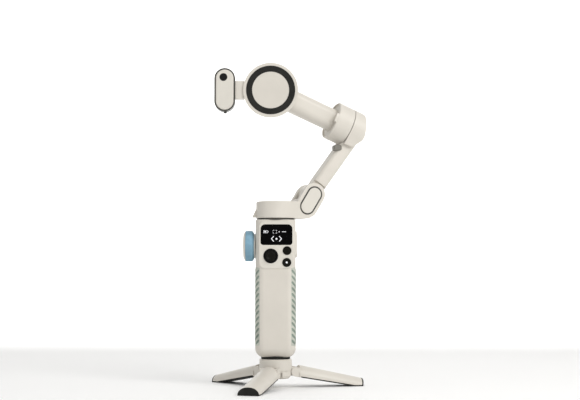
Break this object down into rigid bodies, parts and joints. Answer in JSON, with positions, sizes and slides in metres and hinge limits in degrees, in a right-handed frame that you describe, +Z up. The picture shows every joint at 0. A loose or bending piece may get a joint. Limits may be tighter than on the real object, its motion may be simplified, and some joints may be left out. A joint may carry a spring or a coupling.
{
  "type": "gimbal stabilizer",
  "caption": "Folding three-axis phone gimbal with display handle, side wheel, magnetic phone holder, tracking camera module and fold-out mini tripod.",
  "frame": {"origin": "on the floor under the pan axis, at the centre of the tripod's stance", "axes": "+Z up along the pan axis; -Y out of the handle's control panel towards the user; +X to the user's right"},
  "size_m": [0.1594, 0.1596, 0.323],
  "materials": {
    "cream_shell": "fine moulded texture",
    "cream_cover": "satin",
    "grey_trim": "satin",
    "dark_trim": "satin",
    "black_gloss": "polished",
    "black_button": "satin",
    "display_glass": "polished",
    "blue_rubber": "ribbed",
    "grip_rubber": "diagonal ribs",
    "black_rubber": "matt",
    "steel": "turned",
    "brass": "machined",
    "magnet": "plated",
    "copper_stator": "wound",
    "board": "solder mask",
    "cell": "sleeved"
  },
  "bodies": {
    "handle": {"handle_front_shell": "cream_shell", "handle_rear_shell": "cream_shell", "control_panel": "cream_cover", "display_window": "display_glass", "joystick_base": "black_gloss", "main_board": "board", "battery_cells": "cell", "battery_tray": "dark_trim", "charge_port": "steel", "trigger_spring": "steel", "grip_left": "grip_rubber", "grip_right": "grip_rubber", "shell_screws": "steel", "pan_stator": "copper_stator", "pan_bearing": "brass", "pan_base_plate": "dark_trim", "neck_ring": "black_rubber", "tripod_screw": "steel", "socket_insert": "brass", "tripod_hub": "cream_shell", "leg_pins": "steel"},
    "joystick_ring": {"joystick_gimbal_ring": "black_button"},
    "joystick": {"joystick_cap": "black_button"},
    "mode_key": {"mode_button": "black_button"},
    "record_key": {"record_button": "black_button"},
    "power_key": {"power_button": "cream_cover"},
    "trigger_lever": {"trigger": "cream_cover"},
    "side_wheel": {"wheel_tyre": "blue_rubber", "wheel_cap": "cream_cover"},
    "pan_arm": {"pan_housing": "cream_shell", "pan_rotor": "steel", "hinge_cover_ring": "dark_trim", "hinge_cover": "cream_cover", "hinge_pin": "steel"},
    "fold_arm": {"upper_arm": "cream_shell", "tilt_stop": "grey_trim", "tilt_stator": "copper_stator", "tilt_bearing": "brass"},
    "tilt_arm": {"tilt_housing": "cream_shell", "tilt_rotor": "steel", "roll_arm": "cream_shell", "roll_rear_cover": "cream_cover", "roll_stator": "copper_stator", "roll_bearing": "brass"},
    "phone_holder": {"roll_rotor": "steel", "holder_plate": "cream_shell", "holder_magnets": "magnet", "holder_pad": "black_rubber", "tracker_bracket": "cream_shell"},
    "tracker": {"tracker_back_shell": "dark_trim", "tracker_front_shell": "cream_cover", "tracker_lens": "black_gloss", "tracker_board": "board", "tracker_magnets": "magnet"},
    "front_leg": {"leg_front": "cream_shell", "sole_front": "black_rubber"},
    "right_leg": {"leg_right": "cream_shell", "sole_right": "black_rubber"},
    "left_leg": {"leg_left": "cream_shell", "sole_left": "black_rubber"}
  },
  "joints": [
    {"name": "pan", "type": "hinge", "parent": "handle", "child": "pan_arm", "pos_m": [0, 0, 0.1674], "axis": [0, 0, 1], "range_deg": [-120, 160]},
    {"name": "arm_fold", "type": "hinge", "parent": "pan_arm", "child": "fold_arm", "pos_m": [0.03479, 0.01198, 0.1918], "axis": [0.3256, -0.9455, 0], "range_deg": [0, 92]},
    {"name": "tilt", "type": "hinge", "parent": "fold_arm", "child": "tilt_arm", "pos_m": [0.07186, 0.02474, 0.2626], "axis": [-0.8767, -0.3019, 0.3746], "range_deg": [-80, 80]},
    {"name": "roll", "type": "hinge", "parent": "tilt_arm", "child": "phone_holder", "pos_m": [-0.00502, -0.00173, 0.29545], "axis": [0, -1, 0], "range_deg": [-100, 100]},
    {"name": "tracker_pull_off", "type": "slide", "parent": "phone_holder", "child": "tracker", "axis": [-1, 0, 0], "range_m": [0, 0.012]},
    {"name": "wheel_turn", "type": "hinge", "parent": "handle", "child": "side_wheel", "pos_m": [-0.026, 0, 0.1398], "axis": [1, 0, 0], "continuous": true},
    {"name": "stick_up_down", "type": "hinge", "parent": "handle", "child": "joystick_ring", "pos_m": [-0.0046, -0.015, 0.1297], "axis": [1, 0, 0], "range_deg": [-8, 8], "stiffness_Nm_per_rad": 0.02},
    {"name": "stick_left_right", "type": "hinge", "parent": "joystick_ring", "child": "joystick", "pos_m": [-0.0046, -0.015, 0.1297], "axis": [0, 0, 1], "range_deg": [-8, 8], "stiffness_Nm_per_rad": 0.02},
    {"name": "mode_press", "type": "slide", "parent": "handle", "child": "mode_key", "axis": [0, 1, 0], "range_m": [0, 0.0006], "stiffness_N_per_m": 400, "springref_m": -0.001},
    {"name": "record_press", "type": "slide", "parent": "handle", "child": "record_key", "axis": [0, 1, 0], "range_m": [0, 0.0006], "stiffness_N_per_m": 400, "springref_m": -0.001},
    {"name": "power_press", "type": "slide", "parent": "handle", "child": "power_key", "axis": [-1, 0, 0], "range_m": [0, 0.0006], "stiffness_N_per_m": 500, "springref_m": -0.001},
    {"name": "trigger_pull", "type": "hinge", "parent": "handle", "child": "trigger_lever", "pos_m": [0, 0.013, 0.151], "axis": [1, 0, 0], "range_deg": [0, 6], "stiffness_Nm_per_rad": 0.15, "springref_deg": -5.73},
    {"name": "front_leg_fold", "type": "hinge", "parent": "handle", "child": "front_leg", "pos_m": [-0.0051, -0.01778, 0.0155], "axis": [0.9613, -0.2756, 0], "range_deg": [0, 78]},
    {"name": "right_leg_fold", "type": "hinge", "parent": "handle", "child": "right_leg", "pos_m": [0.01792, 0.0046, 0.0155], "axis": [-0.2487, 0.9686, 0], "range_deg": [0, 78]},
    {"name": "left_leg_fold", "type": "hinge", "parent": "handle", "child": "left_leg", "pos_m": [-0.01247, 0.01366, 0.0155], "axis": [-0.7385, -0.6743, 0], "range_deg": [0, 78]}
  ]
}
